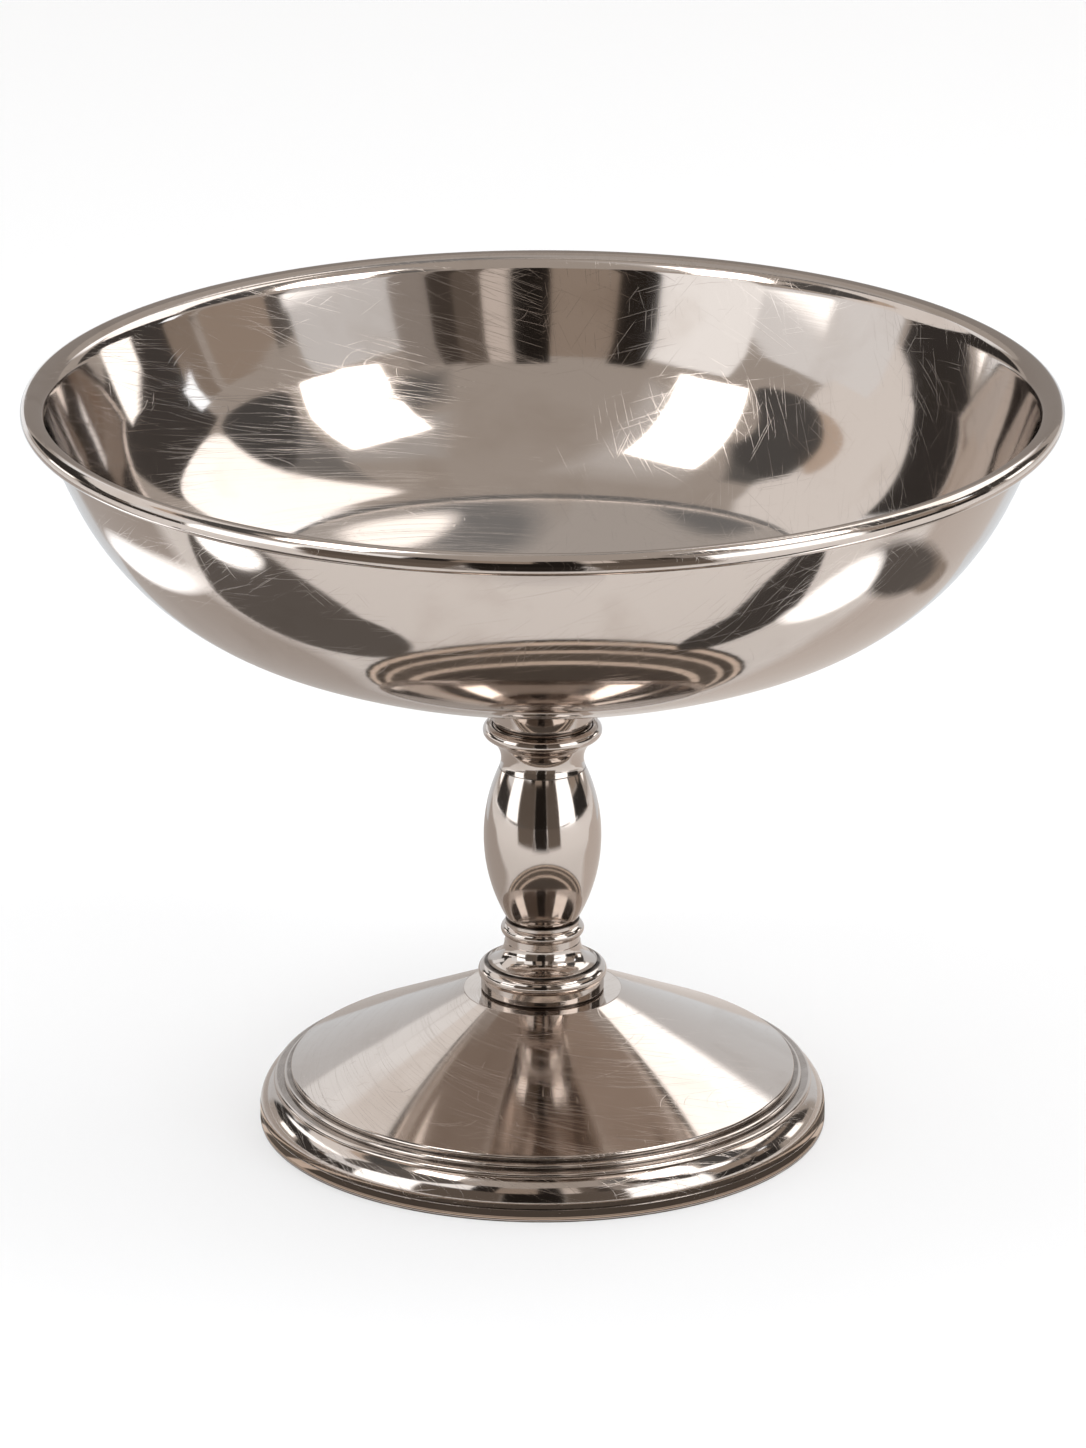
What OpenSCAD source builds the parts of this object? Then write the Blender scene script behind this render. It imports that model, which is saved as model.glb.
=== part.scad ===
// Footed compote bowl: a spun bowl with a wired rim on a turned baluster stem and a
// stepped round foot, drawn together by a tie rod with a nut inside the foot.
// Millimetres, +Z up, origin on the axis in the plane on which the foot stands.

/* [Bowl] */
// Diameter over the rolled rim
rim_d = 254; // [220:1:290]
// Thickness of the roll along the rim
bead_d = 5.3; // [4.6:0.1:6.5]
// Thickness of the bowl's sheet
bowl_t = 1.2; // [0.8:0.1:1.5]
// Radius of the shallow bottom, outside
crown_r = 197; // [185:1:215]
// Radius of the shoulder, outside
shoulder_r = 70; // [62:1:76]
// Slope at which the shoulder turns into the wall, in degrees
shoulder_a = 64.5; // [60:0.5:67]
// Radius of the almost straight wall, outside
wall_r = 230; // [180:5:300]
// Slope of the wall where it meets the roll, in degrees
wall_a = 69.7; // [68:0.1:74]
// Gap left between the rolled edge and the wall
roll_gap = 0.2; // [0.1:0.05:0.4]
// Play of the rim wire in its roll
wire_gap = 0.05; // [0.02:0.01:0.2]

/* [Socket under the bowl] */
// Height from the stem to the bowl, on the axis
boss_h = 11.7; // [10.5:0.1:15]
// Diameter where the socket meets the stem
boss_d = 24.8; // [22:0.2:27]
// Diameter of the flange soldered to the bowl
boss_flange_d = 38; // [34:1:42]
// Radius of the socket's flare
boss_flare_r = 22; // [18:0.5:30]
// Slope of the flare where it leaves the stem, in degrees from upright
boss_flare_a = 14; // [8:1:20]
// Depth of the threaded socket
socket_depth = 8; // [6:0.5:9]
// Solder film between the socket and the bowl
solder_t = 0.1; // [0.05:0.05:0.3]

/* [Stem collar] */
// Height of the collar between the baluster and the socket
collar_h = 12.2; // [11.5:0.1:14]
// Diameter over the collar's roll
collar_d = 29.5; // [28:0.1:32]
// Thickness of the collar's roll
collar_roll_t = 3.7; // [3:0.1:4.4]
// Diameter of the fillet on top of the roll
collar_top_d = 23.6; // [22:0.1:24.4]
// Height of that fillet
collar_top_h = 0.7; // [0.4:0.1:1.2]
// Least diameter of the collar's cove
collar_cove_d = 20.5; // [19:0.1:22]
// Height of that place above the baluster
collar_cove_h = 2.3; // [1.6:0.1:3]

/* [Baluster] */
// Length of the baluster between its shoulders
baluster_h = 40; // [36:0.5:48]
// Diameter of the belly
belly_d = 29.2; // [27:0.1:32]
// Height of the belly above the baluster's lower shoulder
belly_h = 21.9; // [19:0.1:24]
// Radius of the baluster's side
baluster_r = 43.5; // [40:0.5:60]
// Thickness of the baluster's wall at the belly
baluster_t = 3; // [2:0.1:4]
// Thickness of the baluster's solid ends
baluster_end = 6; // [4:0.5:8]

/* [Stem base] */
// Height of the stem base
base_h = 18.6; // [17.6:0.1:22]
// Diameter over the big roll
base_d = 32; // [31:0.1:34]
// Thickness of the big roll
base_roll_t = 4.5; // [3.8:0.1:5]
// Diameter of the plain band under the roll
base_band_d = 30.6; // [28.5:0.1:31]
// Height of that band
base_band_h = 2.75; // [2:0.05:3.5]
// Depth of the shadow line between the band and the foot
base_quirk = 0.5; // [0.3:0.1:0.8]
// Diameter of the edge of the cove above the roll
base_edge_d = 27.2; // [26:0.1:27.8]
// Height of that edge above the roll
base_edge_h = 0.45; // [0.3:0.05:0.8]
// Radius of the cove
base_cove_r = 5.1; // [4.6:0.1:5.6]
// Diameter of the neck above the cove
base_neck_d = 18.6; // [17.6:0.1:18.8]
// Step from the neck out to the cove
base_neck_step = 0.2; // [0.1:0.05:0.4]
// Diameter over the small bead
base_bead_d = 20.7; // [20:0.1:22]
// Thickness of the small bead
base_bead_t = 3.3; // [2.8:0.1:3.8]
// Height of the fillet between the bead and the baluster
base_top_h = 0.9; // [0.5:0.1:1.4]
// Diameter of that fillet
base_top_d = 18.4; // [17.8:0.1:19]

/* [Foot] */
// Diameter of the foot where it stands
foot_d = 141.3; // [120:0.1:165]
// Height of the flat that carries the stem
foot_h = 34; // [28:0.5:42]
// Diameter of that flat
flat_d = 39.3; // [36:0.1:46]
// Height of the turned-down edge of the cone
cone_lip_h = 1.3; // [1:0.1:2]
// Thickness of the foot's sheet
foot_t = 1.5; // [1.3:0.1:1.7]
// Rounding of the cone's lower edge
cone_edge_r = 0.8; // [0.4:0.1:1]
// Rounding of the flat's edge
flat_edge_r = 1; // [0.4:0.1:2]

/* [Base ring] */
// Thickness of the base ring's sheet
ring_t = 1.5; // [1.2:0.1:1.8]
// Height of the plain band on which the foot stands
band_h = 3.5; // [2.5:0.1:5]
// Radius of the quarter round above the band
ovolo_r = 8.1; // [6.5:0.1:10]
// Width of the quarter round, from the band in to the lower step
ovolo_w = 3.45; // [2.8:0.05:5]
// Width and depth of the shadow line over the band
band_quirk = 0.3; // [0.2:0.05:0.5]
// Width of the lower step, from its edge in to the upper one
lower_step_w = 2.5; // [1.8:0.1:4]
// Height of the lower step over the quarter round
lower_step_h = 1.25; // [1:0.05:2]
// Width of the upper step, from its edge in to the cone
upper_step_w = 1.8; // [1.4:0.1:3]
// Height of the upper step over the lower one
upper_step_h = 1.3; // [1:0.05:2]
// Rounding of both steps
step_r = 0.9; // [0.5:0.05:0.95]
// Width of the ledge inside the cone's edge
ledge_w = 2; // [1:0.5:5]

/* [Tie rod] */
// Diameter of the rod over its thread
rod_d = 6; // [5:0.5:7]
// Bevel at the rod's ends
rod_bevel = 0.6; // [0.3:0.1:1]
// Room above the rod in its socket
rod_top_gap = 0.5; // [0.3:0.1:1]
// Length of the rod that stands out of the nut
rod_tail = 3; // [1:0.5:6]
// Play of the rod in the stem's bores
bore_gap = 0.3; // [0.2:0.05:0.6]
// Play between the rod and its threads
thread_gap = 0.05; // [0.02:0.01:0.1]
// Width across the nut's flats
nut_w = 10; // [9:0.5:13]
// Height of the nut
nut_h = 5; // [4:0.5:6.5]
// Diameter of the washer inside the foot
washer_d = 26; // [22:1:34]
// Thickness of the washer
washer_t = 1.5; // [1:0.1:2]

/* [Spigots] */
// Diameter of the spigots that centre the pieces of the stem
spigot_d = 11; // [9.6:0.2:12.4]
// Height of the spigots
spigot_h = 1.1; // [0.8:0.1:1.2]
// Play of a spigot in its seat, across and along the axis
seat_gap = 0.15; // [0.05:0.05:0.2]

/* [Hidden] */
$fn = 180;
nickel = [0.80, 0.77, 0.74];
steel = [0.66, 0.66, 0.66];

// Heights of the stem's joints, stacked from the foot
base_z = foot_h;
baluster_z = base_z + base_h;
collar_z = baluster_z + baluster_h;
boss_z = collar_z + collar_h;
bowl_z = boss_z + boss_h;

// The roll, and the arm from the wall's centre to the roll's
bead_r = bead_d / 2;
roll_in_r = bead_r - bowl_t;
roll_arm = wall_r - bowl_t + bead_r;
// Reach of the wall's centre from the axis, set by the rim
wall_reach = rim_d / 2 - bead_r - roll_arm * sin(wall_a);
// Slope at which the bottom turns into the shoulder, so that the wall meets the rim
crown_a = asin((wall_reach + (wall_r - shoulder_r) * sin(shoulder_a)) / (crown_r - shoulder_r));

// Arc centres of the bowl's section, each on the last arc's end radius
crown_c = [0, bowl_z + crown_r];
shoulder_c = crown_c + (crown_r - shoulder_r) * slope_dir(crown_a);
wall_c = shoulder_c + (shoulder_r - wall_r) * slope_dir(shoulder_a);

// The roll's centre, where the wall's inner face runs onto the roll
bead_c = wall_c + roll_arm * slope_dir(wall_a);
// Angle at the roll's centre between the wall and the rolled edge
roll_open_a = acos((roll_in_r - roll_gap) / bead_r);
// Angle over which the roll laps onto the wall
roll_lap_a = 8;

// Radii of the base ring's steps and of the cone, from the band inwards
band_r = foot_d / 2;
lower_step_r = band_r - ovolo_w;
upper_step_r = lower_step_r - lower_step_w;
cone_r = upper_step_r - upper_step_w;
flat_r = flat_d / 2;
// Heights of the same steps, from the band upwards
ovolo_c = [band_r - ovolo_r, band_h];
ovolo_z = band_h + sqrt(pow(ovolo_r, 2) - pow(ovolo_r - ovolo_w, 2));
lower_step_z = ovolo_z + lower_step_h;
ring_h = lower_step_z + upper_step_h;
cone_edge_z = ring_h + cone_lip_h;
cone_slope = atan((foot_h - cone_edge_z) / (cone_r - flat_r));

// Tie rod and its bores
bore_r = rod_d / 2 + bore_gap;
thread_r = rod_d / 2 + thread_gap;
spigot_r = spigot_d / 2;
washer_z = foot_h - foot_t - washer_t;
nut_z = washer_z - nut_h;
rod_z0 = nut_z - rod_tail;
rod_z1 = boss_z + socket_depth - rod_top_gap;
hex_sides = 6;

// Outward direction of a section at a slope measured from level
function slope_dir(a) = [sin(a), -cos(a)];

// Unit vector from p to q
function toward(p, q) = (q - p) / norm(q - p);

// Rectangle in the half plane, between two radii and two heights
module block(r0, r1, z0, z1) {
    translate([r0, z0]) square([r1 - r0, z1 - z0]);
}

// Rounds the outer corner p of its children, between the neighbours a and b
module rounded(p, a, b, r) {
    u = toward(p, a);
    v = toward(p, b);
    inward = (u + v) / norm(u + v);
    half = acos(u * v) / 2;
    run = r / tan(half);
    past = 2 * run * inward;
    difference() {
        children();
        difference() {
            polygon([p + run * u, p + run * u - past, p + run * v - past, p + run * v]);
            translate(p + inward * r / sin(half)) circle(r);
        }
    }
}

// Turned piece: the section, bored for the rod, with a spigot below and a seat above
module turned(z0, z1, seat = true) {
    rotate_extrude() difference() {
        union() {
            children();
            block(0, spigot_r, z0 - spigot_h, z0 + spigot_h);
        }
        block(0, bore_r, z0 - 2 * spigot_h, z1 + 1);
        if (seat) block(0, spigot_r + seat_gap, z1 - spigot_h - seat_gap, z1 + 1);
    }
}

// Filled section of the bowl up to the given height, drawn in by the given amount:
// bottom, shoulder and wall are circles that touch where their slopes agree
module bowl_section(inset, top) {
    crown_end = crown_c + (crown_r - inset) * slope_dir(crown_a);
    shoulder_end = shoulder_c + (shoulder_r - inset) * slope_dir(shoulder_a);
    intersection() {
        translate(crown_c) circle(crown_r - inset);
        block(0, rim_d, 0, crown_end.y);
    }
    intersection() {
        translate(shoulder_c) circle(shoulder_r - inset);
        block(0, rim_d, 0, top);
    }
    block(0, shoulder_c.x, crown_end.y - bowl_t, top);
    intersection() {
        translate(wall_c) circle(wall_r - inset);
        block(0, rim_d, shoulder_end.y, top);
    }
}

module bowl() {
    above = bead_c.y + bead_d;
    far = 2 * wall_r;
    color(nickel) rotate_extrude() {
        difference() {
            bowl_section(0, above);
            bowl_section(bowl_t, above + bead_d);
            // The wall ends square where it runs onto the roll
            polygon([wall_c, wall_c + far * slope_dir(wall_a), wall_c + far * slope_dir(90 + wall_a)]);
        }
        // Roll over the wire, open where the sheet's edge comes back to the wall
        translate(bead_c) difference() {
            circle(bead_r);
            circle(roll_in_r);
            rotate(90 + wall_a) polygon([
                [0, 0],
                for (a = [roll_lap_a, (roll_lap_a + roll_open_a) / 2, roll_open_a]) bead_d * [cos(a), sin(a)],
            ]);
        }
    }
}

module rim_wire() {
    color(steel) rotate_extrude() translate(bead_c) circle(roll_in_r - wire_gap);
}

module bowl_socket() {
    flange_r = boss_flange_d / 2;
    flare_c = [boss_d / 2, boss_z] + boss_flare_r * [cos(boss_flare_a), -sin(boss_flare_a)];
    color(nickel) rotate_extrude() difference() {
        union() {
            block(0, flange_r, boss_z, bowl_z + boss_h);
            block(0, spigot_r, boss_z - spigot_h, boss_z + spigot_h);
        }
        difference() {
            translate(flare_c) circle(boss_flare_r);
            block(0, flange_r, 0, boss_z);
        }
        // Hollow of the flange, fitted to the underside of the bowl
        translate(crown_c) circle(crown_r + solder_t);
        block(0, thread_r, boss_z - 2 * spigot_h, boss_z + socket_depth);
    }
}

module stem_collar() {
    roll_r = collar_roll_t / 2;
    roll_c = [collar_d / 2 - roll_r, boss_z - collar_top_h - roll_r];
    // The cove's radius follows from touching the roll
    low = [collar_cove_d / 2, collar_z + collar_cove_h];
    d = low - roll_c;
    cove_r = (d * d - roll_r * roll_r) / (2 * (roll_r - d.x));
    cove_c = low + [cove_r, 0];
    touch = roll_c + roll_r * toward(roll_c, cove_c);
    color(nickel) turned(collar_z, boss_z) {
        difference() {
            union() {
                block(0, touch.x, collar_z, touch.y);
                block(0, roll_c.x, collar_z, roll_c.y);
            }
            translate(cove_c) circle(cove_r);
        }
        translate(roll_c) circle(roll_r);
        block(0, collar_top_d / 2, touch.y, boss_z);
    }
}

module baluster() {
    side_c = [belly_d / 2 - baluster_r, baluster_z + belly_h];
    color(nickel) turned(baluster_z, collar_z) {
        difference() {
            intersection() {
                translate(side_c) circle(baluster_r);
                block(0, belly_d, baluster_z, collar_z);
            }
            // Hollow between the solid ends
            intersection() {
                translate(side_c) circle(baluster_r - baluster_t);
                block(0, belly_d, baluster_z + baluster_end, collar_z - baluster_end);
            }
        }
    }
}

module stem_base() {
    roll_r = base_roll_t / 2;
    roll_c = [base_d / 2 - roll_r, base_z + base_band_h + roll_r];
    edge_z = roll_c.y + roll_r + base_edge_h;
    edge_r = base_edge_d / 2;
    neck_r = base_neck_d / 2;
    cove_x = neck_r + base_neck_step + base_cove_r;
    cove_c = [cove_x, edge_z + sqrt(pow(base_cove_r, 2) - pow(cove_x - edge_r, 2))];
    bead_t_r = base_bead_t / 2;
    bead_z = baluster_z - base_top_h - bead_t_r;
    color(nickel) turned(base_z, baluster_z) {
        block(0, base_band_d / 2 - base_quirk, base_z, roll_c.y);
        block(0, base_band_d / 2, base_z + base_quirk, roll_c.y);
        translate(roll_c) circle(roll_r);
        block(0, roll_c.x, base_z + base_band_h, roll_c.y + roll_r);
        difference() {
            block(0, edge_r, roll_c.y, cove_c.y);
            translate(cove_c) circle(base_cove_r);
        }
        block(0, neck_r, roll_c.y, bead_z);
        translate([base_bead_d / 2 - bead_t_r, bead_z]) circle(bead_t_r);
        block(0, base_bead_d / 2 - bead_t_r, bead_z - bead_t_r, bead_z + bead_t_r);
        block(0, base_top_d / 2, bead_z, baluster_z);
    }
}

module foot_cone() {
    flat_p = [flat_r, foot_h];
    edge_p = [cone_r, cone_edge_z];
    lip_p = [cone_r, ring_h];
    // Inner face, one sheet thickness inside the outer one
    in_flat_r = flat_r - foot_t * tan(cone_slope / 2);
    in_lip_r = cone_r - foot_t;
    in_lip_z = foot_h - foot_t - (in_lip_r - in_flat_r) * tan(cone_slope);
    color(nickel) rotate_extrude() difference() {
        rounded(edge_p, flat_p, lip_p, cone_edge_r)
            rounded(flat_p, [0, foot_h], edge_p, flat_edge_r)
                polygon([[0, ring_h], [0, foot_h], flat_p, edge_p, lip_p]);
        polygon([[0, 0], [0, foot_h - foot_t], [in_flat_r, foot_h - foot_t],
                 [in_lip_r, in_lip_z], [in_lip_r, 0]]);
        block(0, spigot_r + seat_gap, ring_h, 2 * foot_h);
    }
}

// Filled section of the base ring, drawn in by the given amount
module ring_section(inset) {
    lower_p = [lower_step_r - inset, lower_step_z - inset];
    upper_p = [upper_step_r - inset, ring_h - inset];
    block(0, band_r - inset, 0, band_h);
    intersection() {
        translate(ovolo_c) circle(ovolo_r - inset);
        block(0, band_r, band_h, lower_step_z - inset);
    }
    rounded(lower_p, [lower_p.x, 0], [0, lower_p.y], step_r)
        block(0, lower_p.x, band_h, lower_p.y);
    rounded(upper_p, [upper_p.x, 0], [0, upper_p.y], step_r)
        block(0, upper_p.x, band_h, upper_p.y);
}

module base_ring() {
    color(nickel) rotate_extrude() difference() {
        ring_section(0);
        ring_section(ring_t);
        block(0, cone_r - foot_t - ledge_w, 0, ring_h + 1);
        block(0, band_r - ring_t, -1, 1);
        block(band_r - band_quirk, foot_d, band_h - band_quirk, band_h);
    }
}

module tie_rod() {
    r = rod_d / 2;
    bevel_r = r - rod_bevel;
    color(steel) rotate_extrude() polygon([
        [0, rod_z0], [bevel_r, rod_z0], [r, rod_z0 + rod_bevel],
        [r, rod_z1 - rod_bevel], [bevel_r, rod_z1], [0, rod_z1],
    ]);
}

module foot_washer() {
    color(steel) rotate_extrude() block(bore_r, washer_d / 2, washer_z, washer_z + washer_t);
}

module rod_nut() {
    color(steel) difference() {
        translate([0, 0, nut_z]) cylinder(d = nut_w / cos(180 / hex_sides), h = nut_h, $fn = hex_sides);
        translate([0, 0, nut_z - 1]) cylinder(r = thread_r, h = nut_h + 2);
    }
}

bowl();
rim_wire();
bowl_socket();
stem_collar();
baluster();
stem_base();
foot_cone();
base_ring();
tie_rod();
foot_washer();
rod_nut();
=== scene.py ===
"""Footed compote bowl: its turned pieces, their polished plate and a plain pale studio.

Profiles are in millimetres in the half plane (radius, height), as in the CAD source.
Each is a closed path with the metal on its left, and is turned about the axis.
"""
import math

import bpy
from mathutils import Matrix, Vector


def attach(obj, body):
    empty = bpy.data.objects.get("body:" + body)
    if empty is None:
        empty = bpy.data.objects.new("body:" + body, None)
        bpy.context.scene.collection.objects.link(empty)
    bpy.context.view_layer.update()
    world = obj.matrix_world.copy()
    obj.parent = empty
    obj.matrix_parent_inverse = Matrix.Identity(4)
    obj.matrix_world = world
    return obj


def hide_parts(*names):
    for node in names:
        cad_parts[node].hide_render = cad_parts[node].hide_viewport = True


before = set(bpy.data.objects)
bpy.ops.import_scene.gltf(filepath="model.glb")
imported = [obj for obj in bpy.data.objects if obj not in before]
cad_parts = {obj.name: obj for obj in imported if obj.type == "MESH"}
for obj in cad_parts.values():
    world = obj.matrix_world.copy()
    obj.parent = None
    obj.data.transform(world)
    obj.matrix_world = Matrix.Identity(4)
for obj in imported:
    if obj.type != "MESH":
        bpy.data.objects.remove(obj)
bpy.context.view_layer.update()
MM = 0.001
TURNS = 256

# Sizes of the object, in millimetres and degrees
RIM_R, BEAD_R, SHEET = 127.0, 2.65, 1.2
CROWN_R, SHOULDER_R, WALL_R = 197.0, 70.0, 230.0
SHOULDER_A, WALL_A, ROLL_GAP = 64.5, 69.7, 0.2
FOOT_H, BASE_H, BALUSTER_H, COLLAR_H, BOSS_H = 34.0, 18.6, 40.0, 12.2, 11.7
BORE_R, THREAD_R, SPIGOT_R, SPIGOT_H, SEAT_GAP = 3.3, 3.05, 5.5, 1.1, 0.15

BASE_Z = FOOT_H
BALUSTER_Z = BASE_Z + BASE_H
COLLAR_Z = BALUSTER_Z + BALUSTER_H
BOSS_Z = COLLAR_Z + COLLAR_H
BOWL_Z = BOSS_Z + BOSS_H


# Profile tools

def sin(a):
    return math.sin(math.radians(a))


def cos(a):
    return math.cos(math.radians(a))


def angle(v):
    return math.degrees(math.atan2(v.y, v.x))


def slope(a):
    return Vector((sin(a), -cos(a)))


def arc(c, r, a0, a1, step=2.0):
    """Points and normals along a circle; a clockwise arc faces its centre."""
    count = max(2, math.ceil(abs(a1 - a0) / step) + 1)
    side = 1 if a1 > a0 else -1
    span = []
    for i in range(count):
        a = a0 + (a1 - a0) * i / (count - 1)
        u = Vector((cos(a), sin(a)))
        span.append((Vector(c) + r * u, side * u))
    return span


def line(p, q):
    """Straight run with its normal on the right of the way."""
    d = (q - p).normalized()
    n = Vector((d.y, -d.x))
    return [(p, n), (q, n)]


def corner(a, p, b, r):
    """Rounding of the corner p between its neighbours a and b."""
    a, p, b = Vector(a), Vector(p), Vector(b)
    u = (a - p).normalized()
    v = (b - p).normalized()
    half = math.acos(max(-1.0, min(1.0, u.dot(v)))) / 2
    c = p + (u + v).normalized() * r / math.sin(half)
    run = r / math.tan(half)
    a0 = angle(p + run * u - c)
    turn = (angle(p + run * v - c) - a0 + 180) % 360 - 180
    return arc(c, r, a0, a0 + turn, 10)


def path(*items):
    """Joins points and arcs, with straight runs where their ends don't meet."""
    spans = []
    last = None
    for item in items:
        span = item if isinstance(item, list) else None
        start = span[0][0] if span else Vector(item)
        if last is not None and (start - last).length > 1e-6:
            spans.append(line(last, start))
        if span:
            spans.append(span)
            last = span[-1][0]
        else:
            last = start
    return spans


def turned(outer, z0, z1, hollow=()):
    """Bored stem piece with a spigot below and a seat above."""
    top = z1 - SPIGOT_H - SEAT_GAP
    seat_r = SPIGOT_R + SEAT_GAP
    low = z0 - SPIGOT_H
    return path((BORE_R, low), (SPIGOT_R, low), (SPIGOT_R, z0), *outer,
                (seat_r, z1), (seat_r, top), (BORE_R, top), *hollow, (BORE_R, low))


# Profiles of the pieces

ROLL_IN_R = BEAD_R - SHEET
ROLL_ARM = WALL_R - SHEET + BEAD_R
WALL_REACH = RIM_R - BEAD_R - ROLL_ARM * sin(WALL_A)
CROWN_A = math.degrees(math.asin((WALL_REACH + (WALL_R - SHOULDER_R) * sin(SHOULDER_A))
                                 / (CROWN_R - SHOULDER_R)))
CROWN_C = Vector((0, BOWL_Z + CROWN_R))
SHOULDER_C = CROWN_C + (CROWN_R - SHOULDER_R) * slope(CROWN_A)
WALL_C = SHOULDER_C + (SHOULDER_R - WALL_R) * slope(SHOULDER_A)
BEAD_C = WALL_C + ROLL_ARM * slope(WALL_A)
ROLL_OPEN_A = math.degrees(math.acos((ROLL_IN_R - ROLL_GAP) / BEAD_R))


def bowl_profile():
    a0 = 90 + WALL_A
    a1 = a0 - (360 - ROLL_OPEN_A)
    t = SHEET
    lip = 0.9
    bead = arc(BEAD_C, BEAD_R, a1, a0, 5)
    wall_top = arc(WALL_C, WALL_R - t, -90 + WALL_A, -90 + WALL_A - lip, 0.05)
    return path(
        arc(CROWN_C, CROWN_R, -90, -90 + CROWN_A, 0.5),
        arc(SHOULDER_C, SHOULDER_R, -90 + CROWN_A, -90 + SHOULDER_A, 1),
        arc(WALL_C, WALL_R, -90 + SHOULDER_A, -90 + WALL_A, 0.5),
        arc(BEAD_C, ROLL_IN_R, a0, a1, 10),
        *soft_roll(bead, wall_top),
        arc(WALL_C, WALL_R - t, -90 + WALL_A - lip, -90 + SHOULDER_A, 0.5),
        arc(SHOULDER_C, SHOULDER_R - t, -90 + SHOULDER_A, -90 + CROWN_A, 1),
        arc(CROWN_C, CROWN_R - t, -90 + CROWN_A, -90, 0.5),
    )


def soft_roll(bead, wall_top):
    """Spreads the turn of the normals from the bead's top over the upper end of the wall."""
    top = max(range(len(bead)), key=lambda i: bead[i][0].y)
    run = bead[top:] + wall_top[1:]
    way = [0.0]
    for (p, _), (q, _) in zip(run, run[1:]):
        way.append(way[-1] + (q - p).length)
    first = angle(bead[top][1])
    last = angle(wall_top[-1][1])
    eased = []
    for (p, _), w in zip(run, way):
        x = w / way[-1]
        a = first + (last - first) * x * x * (3 - 2 * x)
        eased.append((p, Vector((cos(a), sin(a)))))
    return bead[:top] + [eased[0]], eased


def socket_profile():
    boss_r, flange_r, flare_r, flare_a, solder = 12.4, 19.0, 22.0, 14.0, 0.1
    c = Vector((boss_r, BOSS_Z)) + flare_r * Vector((cos(flare_a), -sin(flare_a)))
    flare_end = 180 - math.degrees(math.acos((c.x - flange_r) / flare_r))
    seat = CROWN_R + solder
    seat_a = -90 + math.degrees(math.asin(flange_r / seat))
    deep = BOSS_Z + 8.0
    low = BOSS_Z - SPIGOT_H
    return path(
        (THREAD_R, low), (SPIGOT_R, low), (SPIGOT_R, BOSS_Z), (boss_r, BOSS_Z),
        arc(c, flare_r, 180 - flare_a, flare_end, 2),
        arc(CROWN_C, seat, seat_a, -90, 1),
        (0, deep), (THREAD_R, deep), (THREAD_R, low),
    )


def collar_profile():
    roll_r, top_r = 1.85, 11.8
    roll_c = Vector((14.75 - roll_r, BOSS_Z - 0.7 - roll_r))
    low = Vector((10.25, COLLAR_Z + 2.3))
    d = low - roll_c
    cove_r = (d.dot(d) - roll_r ** 2) / (2 * (roll_r - d.x))
    cove_c = low + Vector((cove_r, 0))
    cove_a = 180 + math.degrees(math.asin((cove_c.y - COLLAR_Z) / cove_r))
    touch = angle(roll_c - cove_c)
    top_a = math.degrees(math.acos((top_r - roll_c.x) / roll_r))
    outer = [arc(cove_c, cove_r, cove_a, touch, 2), arc(roll_c, roll_r, touch - 180, top_a, 4),
             corner((top_r, BOSS_Z - 1), (top_r, BOSS_Z), (0, BOSS_Z), 0.15)]
    return turned(outer, COLLAR_Z, BOSS_Z)


def baluster_profile():
    side_r, wall, end = 43.5, 3.0, 6.0
    c = Vector((14.6 - side_r, BALUSTER_Z + 21.9))
    inner_r = side_r - wall

    def at(z, r):
        return math.degrees(math.asin((z - c.y) / r))

    z0 = BALUSTER_Z + end
    z1 = COLLAR_Z - end
    outer = [arc(c, side_r, at(BALUSTER_Z, side_r), at(COLLAR_Z, side_r), 0.75)]
    hollow = [(BORE_R, z1), arc(c, inner_r, at(z1, inner_r), at(z0, inner_r), 3), (BORE_R, z0)]
    return turned(outer, BALUSTER_Z, COLLAR_Z, hollow)


def base_profile():
    roll_r, band_r, quirk = 2.25, 15.3, 0.5
    roll_c = Vector((16.0 - roll_r, BASE_Z + 2.75 + roll_r))
    roll_top = roll_c.y + roll_r
    edge_r, neck_r, cove_r = 13.6, 9.3, 5.1
    edge_z = roll_top + 0.45
    cove_x = neck_r + 0.2 + cove_r
    cove_c = Vector((cove_x, edge_z + math.sqrt(cove_r ** 2 - (cove_x - edge_r) ** 2)))
    bead_r, top_r = 1.65, 9.2
    bead_c = Vector((10.35 - bead_r, BALUSTER_Z - 0.9 - bead_r))
    band_a = -math.degrees(math.acos((band_r - roll_c.x) / roll_r))
    edge_a = 360 + angle(Vector((edge_r, edge_z)) - cove_c)
    bead_a0 = -math.degrees(math.acos((neck_r - bead_c.x) / bead_r))
    bead_a1 = math.degrees(math.acos((top_r - bead_c.x) / bead_r))
    low = BASE_Z + quirk
    outer = [
        (band_r - quirk, BASE_Z), (band_r - quirk, low),
        corner((0, low), (band_r, low), (band_r, low + 1), 0.2),
        arc(roll_c, roll_r, band_a, 90, 4), (edge_r, roll_top),
        arc(cove_c, cove_r, edge_a, 180, 2), (neck_r, cove_c.y),
        arc(bead_c, bead_r, bead_a0, bead_a1, 4), (top_r, BALUSTER_Z),
    ]
    return turned(outer, BASE_Z, BALUSTER_Z)


# Radii and heights of the foot's steps, from the outer band inwards and upwards
BAND_R, BAND_H, BAND_QUIRK, RING_T = 70.65, 3.5, 0.3, 1.5
OVOLO_R, OVOLO_W = 8.1, 3.45
LOWER_R = BAND_R - OVOLO_W
UPPER_R = LOWER_R - 2.5
CONE_R = UPPER_R - 1.8
OVOLO_C = Vector((BAND_R - OVOLO_R, BAND_H))
LOWER_Z = BAND_H + math.sqrt(OVOLO_R ** 2 - (OVOLO_R - OVOLO_W) ** 2) + 1.25
RING_H = LOWER_Z + 1.3
CONE_EDGE_Z = RING_H + 1.3
FLAT_R, FOOT_T, STEP_R = 19.65, 1.5, 0.9


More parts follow.
